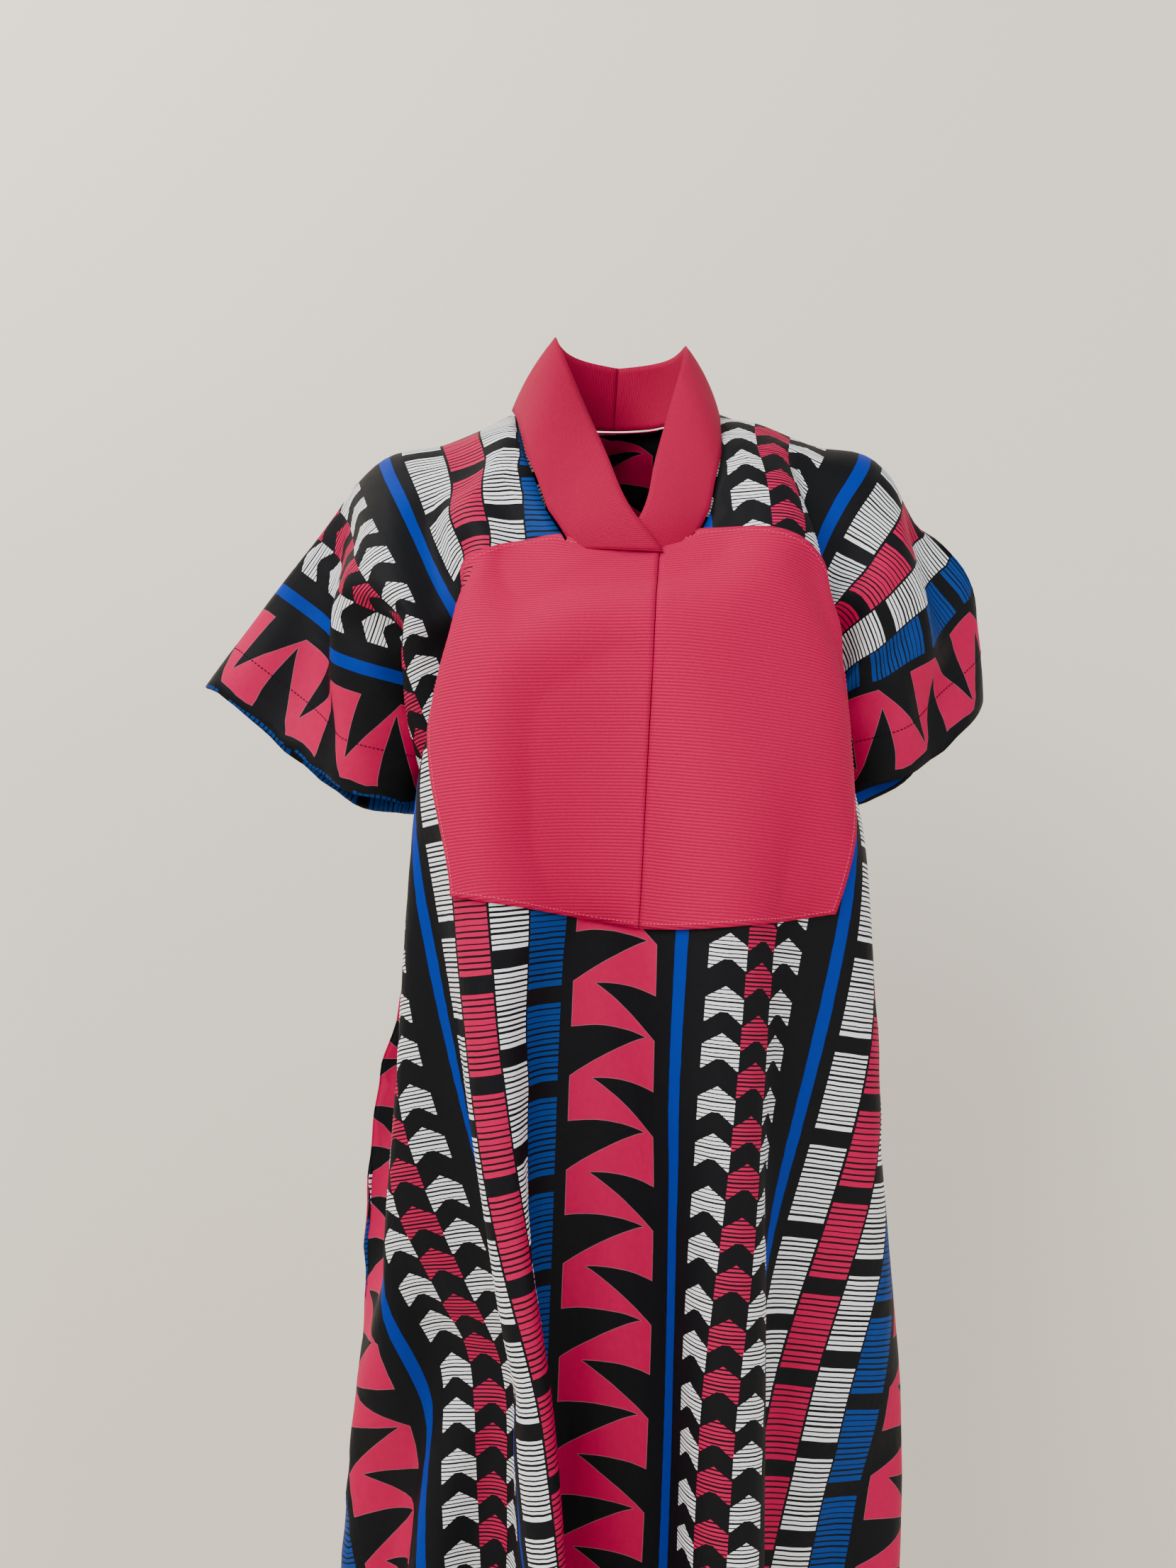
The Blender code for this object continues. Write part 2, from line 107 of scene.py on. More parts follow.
TORSO = [  # z, half width, half depth, centre y
    (0.090, 0.052, 0.036, 0.006), (0.030, 0.055, 0.038, 0.008), (0.002, 0.062, 0.042, 0.010),
    (-0.018, 0.096, 0.046, 0.010), (-0.038, 0.145, 0.056, 0.010), (-0.060, 0.172, 0.068, 0.008),
    (-0.095, 0.170, 0.074, 0.004), (-0.130, 0.162, 0.084, 0.000), (-0.180, 0.154, 0.094, -0.004),
    (-0.215, 0.150, 0.098, -0.006), (-0.250, 0.144, 0.096, -0.005), (-0.300, 0.132, 0.086, 0.000),
    (-0.380, 0.116, 0.076, 0.000), (-0.450, 0.128, 0.082, 0.003), (-0.520, 0.155, 0.092, 0.008),
    (-0.600, 0.170, 0.100, 0.010), (-0.680, 0.168, 0.096, 0.010), (-0.850, 0.150, 0.085, 0.0),
    (-1.050, 0.125, 0.070, 0.0), (-1.400, 0.100, 0.060, 0.0),
]
ARM = [  # distance from the shoulder, half width, half depth
    (-0.030, 0.020, 0.022), (-0.015, 0.040, 0.042), (0.010, 0.048, 0.050), (0.060, 0.045, 0.048),
    (0.150, 0.040, 0.043), (0.300, 0.035, 0.038), (0.400, 0.036, 0.037), (0.520, 0.028, 0.030),
    (0.600, 0.026, 0.024), (0.680, 0.040, 0.020), (0.760, 0.020, 0.012),
]
SHOULDER = (0.170, 0.010, -0.070)

# Layers and trims
COTTON = 0.0009
HEM_GAP = 0.0013
SLEEVE_HEM = 0.046
BOTTOM_HEM = 0.022
RIB_WALL = 0.0014
BIB = {
    "centre": 0.021, "half_top": 0.208, "half_bottom": 0.170,
    "top": 0.164, "drop": 0.046, "corner": 0.462, "point": 0.490,
}
BIB_TOP_POWER = 2.5
BIB_EDGE_POWER = 1.6
BIB_LIFT = 0.0034
BIB_OVER_COLLAR = 0.0062
COLLAR_TOP = {
    "right": [(0.024, -0.104, -0.131), (0.0125, -0.101, -0.115),
              (0.0040, -0.097, -0.104), (-0.0164, -0.065, -0.055),
              (-0.0357, -0.030, -0.005), (-0.058, 0.004, 0.057), (-0.047, 0.048, 0.054)],
    "left": [(-0.008, -0.104, -0.131), (0.0022, -0.101, -0.114),
             (0.0100, -0.096, -0.101), (0.0190, -0.072, -0.066),
             (0.0290, -0.045, -0.027), (0.0475, 0.004, 0.050), (0.036, 0.048, 0.050)],
}
COLLAR_CENTRE_BACK = (-0.006, 0.068, 0.047)
COLLAR_FRONT_END = 0.54


def smooth(value):
    value = np.clip(value, 0.0, 1.0)
    return value * value * (3 - 2 * value)


def spline(knots, values, at):
    steps = np.diff(knots)
    count = len(knots)
    matrix, right = np.eye(count), np.zeros(count)
    for i in range(1, count - 1):
        matrix[i, i - 1 : i + 2] = (steps[i - 1], 2 * (steps[i - 1] + steps[i]), steps[i])
        right[i] = 6 * ((values[i + 1] - values[i]) / steps[i] - (values[i] - values[i - 1]) / steps[i - 1])
    bend = np.linalg.solve(matrix, right)
    cell = np.clip(np.searchsorted(knots, at) - 1, 0, count - 2)
    width, near, far = steps[cell], at - knots[cell], knots[cell + 1] - at
    curved = (bend[cell] * far**3 + bend[cell + 1] * near**3) / (6 * width)
    low = (values[cell] / width - bend[cell] * width / 6) * far
    return curved + low + (values[cell + 1] / width - bend[cell + 1] * width / 6) * near


# ---------------------------------------------------------------- the cut
def divide(points):
    found = []
    for a, b in zip(points[:-1], points[1:]):
        count = max(1, round(math.dist(a, b) / STEP))
        found += [(a[0] + (b[0] - a[0]) * i / count, a[1] + (b[1] - a[1]) * i / count) for i in range(count)]
    return found


def underarm():
    a = (HALF_SPAN, SLEEVE_DEPTH)
    b = (UNDERARM_U + 0.02, UNDERARM_V - 0.03)
    c = (UNDERARM_U + 0.012, UNDERARM_V + 0.07)
    share = np.linspace(0, 1, 25)[:, None]
    curve = (1 - share) ** 2 * np.array(a) + 2 * share * (1 - share) * np.array(b) + share**2 * np.array(c)
    return [tuple(p) for p in curve]


def half_outline():
    shoulder = divide([(NECK_U, 0.0), (HALF_SPAN, 0.0)])
    cuff = divide([(HALF_SPAN, 0.0), (HALF_SPAN, SLEEVE_DEPTH)])
    side = divide(underarm() + [(HEM_U, LENGTH - HEM_RISE)])
    shares = [i / 24 for i in range(25)]
    hem = divide([(HEM_U * (1 - s), LENGTH - HEM_RISE * (1 - s) ** 2) for s in shares])
    return shoulder, cuff, side, hem


def outline(face):
    half = sum(half_outline(), [])
    if face == "front":
        neck = divide([(-u, v) for u, v in reversed(FRONT_NECK)] + FRONT_NECK[1:])[1:]
    else:
        line = [(-u, v) for u, v in reversed(BACK_NECK)] + BACK_NECK
        neck = divide(line)[1:]
    return half + [(0.0, LENGTH)] + [(-u, v) for u, v in reversed(half)] + neck


def inside(points, polygon):
    polygon = np.array(polygon)
    found = np.zeros(len(points), bool)
    x, y = points.T
    for (ax, ay), (bx, by) in zip(polygon, np.roll(polygon, 1, axis=0)):
        crosses = (ay > y) != (by > y)
        found ^= crosses & (x < (bx - ax) * (y - ay) / (by - ay + 1e-12) + ax)
    return found


def flat_area(face):
    x, y = np.array(outline(face)).T
    return abs(np.dot(x, np.roll(y, 1)) - np.dot(y, np.roll(x, 1))) / 2


def triangulate(face):
    edge = outline(face)
    row = STEP * math.sqrt(3) / 2
    lattice = []
    for j in range(-1, int(LENGTH / row) + 2):
        across = np.arange(-LATTICE_REACH, LATTICE_REACH, STEP) + (STEP / 2 if j % 2 else 0)
        lattice.append(np.stack([across, np.full(len(across), j * row)], 1))
    lattice = np.concatenate(lattice)
    lattice = lattice[inside(lattice, edge)]
    apart = np.linalg.norm(lattice[:, None] - np.array(edge)[None], axis=2).min(axis=1)
    lattice = lattice[apart > INSIDE_SHARE * STEP]
    points = [Vector(p) for p in edge] + [Vector(p) for p in lattice]
    ring = [(i, (i + 1) % len(edge)) for i in range(len(edge))]
    made = delaunay_2d_cdt(points, ring, [], 1, 1e-7)
    return np.array([tuple(p) for p in made[0]]), np.array([tuple(f) for f in made[2]])


def line_down(rows):
    """The place (y, z) for each distance down a line through these points, rounded at its corners."""
    rows = np.array(rows)
    along = np.concatenate([[0], np.cumsum(np.linalg.norm(np.diff(rows, axis=0), axis=1))])
    at = np.linspace(0, along[-1], 1500)
    y, z = np.interp(at, along, rows[:, 0]), np.interp(at, along, rows[:, 1])
    for _ in range(60):
        y[1:-1] = (y[:-2] + y[1:-1] * 2 + y[2:]) / 4
        z[1:-1] = (z[:-2] + z[1:-1] * 2 + z[2:]) / 4
    along = np.concatenate([[0], np.cumsum(np.hypot(np.diff(y), np.diff(z)))])
    return lambda v: (np.interp(v, along, y), np.interp(v, along, z))


FRONT_AT, BACK_AT = line_down(FRONT_LINE), line_down(BACK_LINE)


def folded(u, v, rows):
    """How far across and out the folds put a point of the skirt, at the same distance along the cloth."""
    at = np.linspace(-FOLD_REACH, FOLD_REACH, 497)
    out = np.interp(at, *zip(*rows))
    for _ in range(FOLD_ROUNDS):
        out[1:-1] = (out[:-2] + out[1:-1] * 2 + out[2:]) / 4
    share = smooth((v - FOLD_START) / (FOLD_FULL - FOLD_START))[:, None]
    steps = np.sqrt(np.maximum(1 - (np.gradient(out, at) * share) ** 2, STEEPEST)) * (at[1] - at[0])
    along = np.cumsum(steps, axis=1)
    along -= along[:, [len(at) // 2]]
    cell = np.clip(((u - at[0]) / (at[1] - at[0])).astype(int), 0, len(at) - 2)
    part = (u - at[cell]) / (at[1] - at[0])
    rows_at = np.arange(len(u))
    x = along[rows_at, cell] * (1 - part) + along[rows_at, cell + 1] * part
    return x, np.interp(u, at, out) * share[:, 0]


def unsewn(u, v, back):
    """Where the panels are before sewing: the front before the figure and the back behind it."""
    yf, zf = FRONT_AT(v)
    yb, zb = BACK_AT(v)
    bump = np.exp(-((u / NAPE["width"]) ** 2) - ((v - NAPE["down"]) / NAPE["depth"]) ** 2) * NAPE["rise"]
    top, low, wide = NECK_SHIFT
    shift = (top + (low - top) * np.clip(v / FRONT_NECK[1][1], 0, 1)) * np.exp(-((u / wide) ** 2))
    shift = shift * np.exp(-((v / NECK_SHIFT_DOWN) ** 2))
    xf, out_f = folded(u, v, FRONT_FOLDS)
    xb, out_b = folded(u, v, BACK_FOLDS)
    x = np.where(back, xb, xf)
    return np.stack([x + shift, np.where(back, yb + bump + out_b, yf + out_f), np.where(back, zb, zf)], 1)


def neck_v(u, face):
    u = abs(u)
    return float(np.interp(u, *zip(*(FRONT_NECK if face == "front" else BACK_NECK))))


# ---------------------------------------------------------------- dressing
def loft(name, sections, count, friction=3):
    made = bmesh.new()
    rings = []
    for (cx, cy, cz), wide, deep in sections:
        turn = [2 * math.pi * i / count for i in range(count)]
        rings.append([made.verts.new((cx + wide * math.cos(a), cy + deep * math.sin(a), cz)) for a in turn])
    for a, b in zip(rings[:-1], rings[1:]):
        for i in range(count):
            made.faces.new((a[i], a[(i + 1) % count], b[(i + 1) % count], b[i]))
    made.faces.new(rings[-1])
    made.faces.new(list(reversed(rings[0])))
    bmesh.ops.recalc_face_normals(made, faces=made.faces)
    mesh = bpy.data.meshes.new(name)
    made.to_mesh(mesh)
    made.free()
    thing = bpy.data.objects.new(name, mesh)
    bpy.context.scene.collection.objects.link(thing)
    modifier = thing.modifiers.new("round", "SUBSURF")
    modifier.levels = modifier.render_levels = 1
    thing.modifiers.new("collide", "COLLISION")
    thing.collision.thickness_outer = 0.004
    thing.collision.thickness_inner = 0.02
    thing.collision.cloth_friction = friction
    thing.collision.damping = 0.3
    return thing


def figure():
    parts = [loft("torso", [((0, y, z), w, d) for z, w, d, y in reversed(TORSO)], 28)]
    for side, (start, end) in ARM_ANGLE.items():
        arm = loft("arm" + str(side), [((0, 0, -at), w, d) for at, w, d in reversed(ARM)], 16)
        arm.location = (side * SHOULDER[0], SHOULDER[1], SHOULDER[2])
        for f in range(1, FRAMES + 1):
            share = float(smooth((f - HOLD) / SWING))
            arm.rotation_euler = (0, -side * math.radians(start + (end - start) * share), 0)
            arm.keyframe_insert("rotation_euler", frame=f)
        parts.append(arm)
    for axis, ends in ((0, SIDE_BOARDS), (1, FACE_BOARDS)):
        for sign, rows in ends.items():
            size = (BOARD_WALL, BOARD_HALF) if axis == 0 else (BOARD_HALF, BOARD_WALL)
            sections = []
            for z, at in reversed(rows):
                out = sign * (at + BOARD_WALL)
                sections.append(((out * (1 - axis), out * axis, z), *size))
            board = loft("board" + str(axis) + str(sign), sections, 24, 0)
            for f in range(1, FRAMES + 1):
                share = float(smooth((f - BOARD_FRAMES[0]) / (BOARD_FRAMES[1] - BOARD_FRAMES[0])))
                board.location[axis] = sign * BOARD_START[axis] * (1 - share)
                board.keyframe_insert("location", frame=f)
            parts.append(board)
    return parts


def dress(cut):
    """Sews the panels round the figure, lowers its arms and gives the points when the cloth has settled."""
    shoulder, _, side, hem = half_outline()
    at_shoulder = {(round(u, 6), 0.0) for u, _ in shoulder} | {(round(HALF_SPAN, 6), 0.0)}
    at_side = {(round(u, 6), round(v, 6)) for u, v in side + [hem[0]]}
    places, index, welded, meets, sewn = [], {}, {}, {}, []
    for face in ("front", "back"):
        numbers = []
        for u, v in cut[face][0]:
            key, half = (round(u, 6), round(v, 6)), (round(abs(u), 6), round(v, 6))
            if face == "back" and key in welded:
                numbers.append(welded[key])
                continue
            if face == "front" and half in at_shoulder:
                welded[key] = len(places)
            elif face == "front" and half in at_side:
                meets[key] = len(places)
            elif key in meets:
                sewn.append((meets[key], len(places)))
            numbers.append(len(places))
            places.append((u, v, face == "back"))
        index[face] = np.array(numbers)
    places = np.array(places, float)
    u, v, back = places.T
    start = unsewn(u, v, back > 0.5)
    faces = [tuple(index["front"][f]) for f in cut["front"][1]]
    faces += [tuple(reversed(index["back"][f])) for f in cut["back"][1]]
    faces = [tuple(int(i) for i in f) for f in faces]
    mesh = bpy.data.meshes.new("cloth")
    mesh.from_pydata(start.tolist(), sewn, faces)
    cloth = bpy.data.objects.new("cloth", mesh)
    scene = bpy.context.scene
    scene.collection.objects.link(cloth)
    at_neck = []
    for i in range(len(places)):
        edge = neck_v(u[i], "back" if back[i] > 0.5 else "front") if abs(u[i]) <= NECK_U + 1e-6 else -1
        if abs(v[i] - edge) < 1e-6:
            at_neck.append(i)
    cloth.vertex_groups.new(name="pin").add(at_neck, 1.0, "REPLACE")
    stiff = cloth.vertex_groups.new(name="stiff")
    for i in range(len(places)):
        under_bib = back[i] < 0.5 and abs(u[i]) < BIB["half_bottom"]
        under_bib = under_bib and BIB["top"] < v[i] < BIB["corner"] + 0.02
        if under_bib or (abs(u[i]) > SLEEVE_FROM and v[i] < SLEEVE_TO):
            stiff.add([i], 1.0 if under_bib else SLEEVE_STIFF, "REPLACE")
    body = figure()
    modifier = cloth.modifiers.new("cloth", "CLOTH")
    s = modifier.settings
    s.quality = 5
    s.mass = VERTEX_MASS
    s.tension_stiffness = s.compression_stiffness = STRETCH
    s.shear_stiffness = SHEAR
    s.bending_model = "ANGULAR"
    s.bending_stiffness = BEND
    s.bending_stiffness_max = BEND * STIFF_TIMES
    s.vertex_group_bending = "stiff"
    s.vertex_group_mass = "pin"
    s.pin_stiffness = 50
    s.tension_damping = s.compression_damping = s.shear_damping = 5
    s.bending_damping = 0.5
    s.air_damping = 1.5
    s.use_sewing_springs = True
    s.sewing_force_max = SEWING
    c = modifier.collision_settings
    c.use_collision = c.use_self_collision = True
    c.distance_min = 0.004
    c.collision_quality = 3
    c.self_distance_min = 0.003
    c.self_friction = 5
    modifier.point_cache.frame_start = 1
    modifier.point_cache.frame_end = FRAMES
    first = scene.frame_current, scene.frame_start, scene.frame_end
    scene.frame_start, scene.frame_end = 1, FRAMES
    for f in range(1, FRAMES + 1):
        scene.frame_set(f)
    settled = cloth.evaluated_get(bpy.context.evaluated_depsgraph_get()).data
    points = np.zeros(len(places) * 3, np.float32)
    settled.vertices.foreach_get("co", points)
    points = points.reshape(-1, 3).astype(float)
    scene.frame_start, scene.frame_end = first[1], first[2]
    for thing in [cloth] + body:
        data = thing.data
        bpy.data.objects.remove(thing)
        bpy.data.meshes.remove(data)
    scene.frame_set(first[0])
    for a, b in sewn:
        points[a] = points[b] = (points[a] + points[b]) / 2
    points = relax(points, np.array(faces), sewn, set(at_neck))
    return {face: points[index[face]] for face in ("front", "back")}


def relax(points, faces, sewn, fixed, rounds=2, share=0.35):
    """Takes the smallest jags out of the settled cloth, with sewn points kept together."""
    partner = np.arange(len(points))
    for a, b in sewn:
        partner[b] = a
    joined = partner[faces]
    edges = np.concatenate([joined[:, [0, 1]], joined[:, [1, 2]], joined[:, [2, 0]]])
    edges = np.unique(np.sort(edges, axis=1), axis=0)
    uses = np.zeros(len(points))
    np.add.at(uses, edges.ravel(), 1)
    hold = np.zeros(len(points), bool)
    hold[list(fixed)] = True
    for _ in range(rounds):
        total = np.zeros_like(points)
        np.add.at(total, edges[:, 0], points[edges[:, 1]])
        np.add.at(total, edges[:, 1], points[edges[:, 0]])
        mean = total / np.maximum(uses, 1)[:, None]
        move = (~hold & (uses > 0))[:, None]
        points = np.where(move, points + (mean - points) * share, points)
    return points[partner]


def refine(points, flat, faces):
    """One step of Loop subdivision, where an open edge only follows its own points."""
    edges = np.concatenate([faces[:, [0, 1]], faces[:, [1, 2]], faces[:, [2, 0]]])
    across = np.concatenate([faces[:, 2], faces[:, 0], faces[:, 1]])
    keys, slot, count = np.unique(np.sort(edges, axis=1), axis=0, return_inverse=True, return_counts=True)
    slot = slot.reshape(-1)
    a, b = keys.T
    far = np.zeros((len(keys), 3))
    np.add.at(far, slot, points[across])
    open_edge = count == 1
    middle = (points[a] + points[b]) / 2
    middle = np.where(open_edge[:, None], middle, (points[a] + points[b]) * 0.375 + far * 0.125)
    total, uses = np.zeros_like(points), np.zeros(len(points))
    edge_total, at_edge = np.zeros_like(points), np.zeros(len(points))
    for i, j in ((a, b), (b, a)):
        np.add.at(total, i, points[j])
        np.add.at(uses, i, 1)
        np.add.at(edge_total, i[open_edge], points[j[open_edge]])
        np.add.at(at_edge, i[open_edge], 1)
    weight = np.where(uses > 3, 3 / (8 * np.maximum(uses, 1)), 3 / 16)[:, None]
    kept = points * (1 - uses[:, None] * weight) + total * weight
    corner = uses < 4
    rim = points * 0.75 + edge_total * 0.125
    kept = np.where((at_edge == 2)[:, None], rim, kept)
    kept = np.where(((at_edge > 0) & ((at_edge != 2) | corner & (uses < 3)))[:, None], points, kept)
    number = len(points) + slot.reshape(3, -1)
    ab, bc, ca = number
    x, y, z = faces.T
    made = np.concatenate([np.stack(t, 1) for t in ((x, ab, ca), (ab, y, bc), (ca, bc, z), (ab, bc, ca))])
    return np.concatenate([kept, middle]), np.concatenate([flat, (flat[a] + flat[b]) / 2]), made


def point_normals(points, faces):
    a, b, c = points[faces[:, 0]], points[faces[:, 1]], points[faces[:, 2]]
    each = np.cross(b - a, c - a)
    total = np.zeros_like(points)
    for i in range(3):
        np.add.at(total, faces[:, i], each)
    return total / np.maximum(np.linalg.norm(total, axis=1, keepdims=True), 1e-12)


class Cloth:
    """A panel's settled surface, with its place on the flat cut at each point."""

    def __init__(self, points, flat, faces):
        self.points, self.flat, self.faces = points, flat, faces
        self.normals = point_normals(points, faces)
        level = np.concatenate([flat, np.zeros((len(flat), 1))], 1)
        self.tree = BVHTree.FromPolygons(level.tolist(), faces.tolist())

    def at(self, places):
        """Points and normals of the surface at these places (u, v) of the flat cut."""
        found, normals = [], []
        for u, v in places:
            hit, _, index, _ = self.tree.find_nearest(Vector((u, v, 0.0)))
            corners = self.faces[index]
            a, b, c = self.flat[corners]
            matrix = np.array([b - a, c - a]).T
            s, t = np.linalg.solve(matrix, np.array(hit[:2]) - a)
            share = np.array([1 - s - t, s, t])
            found.append(share @ self.points[corners])
            normals.append(share @ self.normals[corners])
        normals = np.array(normals)
        return np.array(found), normals / np.linalg.norm(normals, axis=1, keepdims=True)


# ---------------------------------------------------------------- pieces
def make(name, points, faces, maps, material, wall):
    """A thin closed piece whose outer face is the points. maps are their places on the flat cut."""
    mesh = bpy.data.meshes.new(name)
    mesh.from_pydata(np.asarray(points).tolist(), [], [tuple(int(i) for i in f) for f in faces])
    mesh.update()
    loops = np.zeros(len(mesh.loops), int)
    mesh.loops.foreach_get("vertex_index", loops)
    layer = mesh.uv_layers.new(name="flat")
    layer.data.foreach_set("uv", np.asarray(maps, np.float32)[loops].ravel())
    mesh.polygons.foreach_set("use_smooth", [True] * len(mesh.polygons))
    piece = bpy.data.objects.new(name, mesh)
    bpy.context.scene.collection.objects.link(piece)
    mesh.materials.append(material)
    if wall:
        solid = piece.modifiers.new("wall", "SOLIDIFY")
        solid.thickness = wall
        solid.offset = -1
        solid.use_even_offset = False
    return piece


def grid_faces(rows, columns):
    j, i = np.meshgrid(np.arange(rows - 1), np.arange(columns - 1), indexing="ij")
    a = (j * columns + i).ravel()
    return np.stack([a, a + columns, a + columns + 1, a + 1], 1)


def stitches(name, points, normals, material, length=0.0024, gap=0.0010, radius=0.00030, lift=0.0001):
    """A line of stitches lying on a surface, each a short flat lozenge of thread."""
    along = np.concatenate([[0], np.cumsum(np.linalg.norm(np.diff(points, axis=0), axis=1))])
    count = int(along[-1] / (length + gap))
    starts = np.arange(count) * (length + gap)
    ring = 6
    verts, faces = [], []
    for s in starts:
        ends = [s, s + length * 0.2, s + length * 0.8, s + length]
        sizes = [0.25, 1.0, 1.0, 0.25]
        dips = [-0.6, 0.4, 0.4, -0.6]
        base = len(verts)
        mid = np.array([np.interp(s + length / 2, along, points[:, k]) for k in range(3)])
        ahead = np.array([np.interp(s + length, along, points[:, k]) for k in range(3)])
        normal = np.array([np.interp(s + length / 2, along, normals[:, k]) for k in range(3)])
        normal /= np.linalg.norm(normal)
        side = np.cross(ahead - mid, normal)
        side /= max(np.linalg.norm(side), 1e-12)
        for at, size, dip in zip(ends, sizes, dips):
            centre = np.array([np.interp(at, along, points[:, k]) for k in range(3)])
            centre = centre + normal * (lift + radius * dip)
            for q in range(ring):
                a = 2 * math.pi * q / ring
                verts.append(centre + (side * math.cos(a) * 1.2 + normal * math.sin(a)) * radius * size)
        for r in range(3):
            for q in range(ring):
                k, n = base + r * ring + q, base + r * ring + (q + 1) % ring
                faces.append((k, n, n + ring, k + ring))
        faces.append(tuple(base + q for q in reversed(range(ring))))
        faces.append(tuple(base + 3 * ring + q for q in range(ring)))
    return make(name, verts, faces, np.zeros((len(verts), 2)), material, 0)


# ---------------------------------------------------------------- materials
class Value:
    """A number in a material, which adds and compares by making nodes."""

    def __init__(self, tree, socket):
        self.tree, self.socket = tree, socket

    def op(self, kind, *others):
        node = self.tree.nodes.new("ShaderNodeMath")
        node.operation = kind
        for slot, value in zip(node.inputs, (self, *others)):
            if isinstance(value, Value):
                self.tree.links.new(value.socket, slot)
            else:
                slot.default_value = value
        return Value(self.tree, node.outputs[0])

    def __add__(self, other):
        return self.op("ADD", other)

    def __sub__(self, other):
        return self.op("SUBTRACT", other)

    def __mul__(self, other):
        return self.op("MULTIPLY", other)

    def __truediv__(self, other):
        return self.op("DIVIDE", other)

    def __rsub__(self, other):
        return (self * -1) + other

    __radd__ = __add__
    __rmul__ = __mul__

    def above(self, other):
        return self.op("GREATER_THAN", other)

    def below(self, other):
        return self.op("LESS_THAN", other)

    def between(self, low, high):
        return self.above(low) * self.below(high)

    def mod(self, other):
        return self.op("FLOORED_MODULO", other)

    def clip(self):
        return self.op("MAXIMUM", 0.0).op("MINIMUM", 1.0)

    def size(self):
        return self.op("ABSOLUTE")


def new_material(name, roughness):
    material = bpy.data.materials.new(name)
    material.use_nodes = True
    tree = material.node_tree
    shader = tree.nodes["Principled BSDF"]
    shader.inputs["Roughness"].default_value = roughness
    shader.inputs["Specular IOR Level"].default_value = 0.10
    return material, tree, shader


def cloth_place(tree):
    read = tree.nodes.new("ShaderNodeUVMap")
    read.uv_map = "flat"
    parts = tree.nodes.new("ShaderNodeSeparateXYZ")
    tree.links.new(read.outputs[0], parts.inputs[0])
    return read.outputs[0], Value(tree, parts.outputs[0]), Value(tree, parts.outputs[1])


def blend_colour(tree, share, under, over):
    node = tree.nodes.new("ShaderNodeMix")
    node.data_type = "RGBA"
    for slot, value in ((node.inputs[0], share), (node.inputs[6], under), (node.inputs[7], over)):
        if isinstance(value, Value):
            tree.links.new(value.socket, slot)
        elif isinstance(value, bpy.types.NodeSocket):
            tree.links.new(value, slot)
        else:
            slot.default_value = value
    return node.outputs[2]


def noise(tree, vector, scale, detail=2.0, stretch=(1, 1, 1)):
    turn = tree.nodes.new("ShaderNodeMapping")
    turn.inputs["Scale"].default_value = stretch
    tree.links.new(vector, turn.inputs[0])
    node = tree.nodes.new("ShaderNodeTexNoise")
    node.inputs["Scale"].default_value = scale
    node.inputs["Detail"].default_value = detail
    tree.links.new(turn.outputs[0], node.inputs["Vector"])
    return Value(tree, node.outputs[0])


def random_of(tree, a, b):
    """A fixed random number from 0 to 1 for each value of the node a, with the number b as its seed."""
    join = tree.nodes.new("ShaderNodeCombineXYZ")
    tree.links.new(a.socket, join.inputs[0])
    join.inputs[1].default_value = b
    node = tree.nodes.new("ShaderNodeTexWhiteNoise")
    node.noise_dimensions = "2D"
    tree.links.new(join.outputs[0], node.inputs["Vector"])
    return Value(tree, node.outputs["Value"])


def add_bump(tree, shader, layers):
    """Bump layers as (height value, strength, depth in metres), the coarsest first."""
    last = None
    for height, strength, depth in layers:
        node = tree.nodes.new("ShaderNodeBump")
        node.inputs["Strength"].default_value = strength
        node.inputs["Distance"].default_value = depth
        tree.links.new(height.socket, node.inputs["Height"])
        if last is not None:
            tree.links.new(last, node.inputs["Normal"])
        last = node.outputs[0]
    tree.links.new(last, shader.inputs["Normal"])


BLACK = (0.0045, 0.0048, 0.0062, 1)
CRIMSON = (0.47, 0.0, 0.062, 1)
CRIMSON_EDGE = (0.30, 0.075, 0.115, 1)
STRIPE_BLUE = (0.0, 0.024, 0.27, 1)
BAR_BLUE = (0.0015, 0.040, 0.215, 1)
WHITE = (0.84, 0.85, 0.88, 1)
RIB_CRIMSON = (0.50, 0.0, 0.062, 1)
COLLAR_CRIMSON = (0.40, 0.0, 0.045, 1)

REPEAT = 400.0
PERIOD = 73.0
PRINT_LEFT = 37.0
PRINT_DOWN = 497.0
ZIGZAG = 74.0
ZIG_END, ZAG_START = 0.875, 0.247  # where the left teeth end and the right ones start, across the column
RIM = 0.008  # of a period
STRIPES = [(90.0, 100.8), (232.3, 242.8)]
# Each row is left edge, right edge, ink and phase, and a block's has its count of bars too
CHEVRONS = [(117.8, 147.8, WHITE, -0.03), (147.8, 177.8, CRIMSON, 0.24), (177.8, 207.8, WHITE, -0.03)]
CHEVRON_OFFSETS = (0.0, 0.53)
CHEVRON_RISE, CHEVRON_DROP, CHEVRON_BAR = 9.0, 18.5, 3.05
BLOCK_SHARE = 0.82
BLOCKS = [(253.3, 284.3, WHITE, -0.06, 16), (286.8, 319.3, CRIMSON, 0.52, 13)]
BLOCKS += [(321.3, 353.6, WHITE, 0.29, 15), (355.3, 390.3, BAR_BLUE, -0.26, 13)]


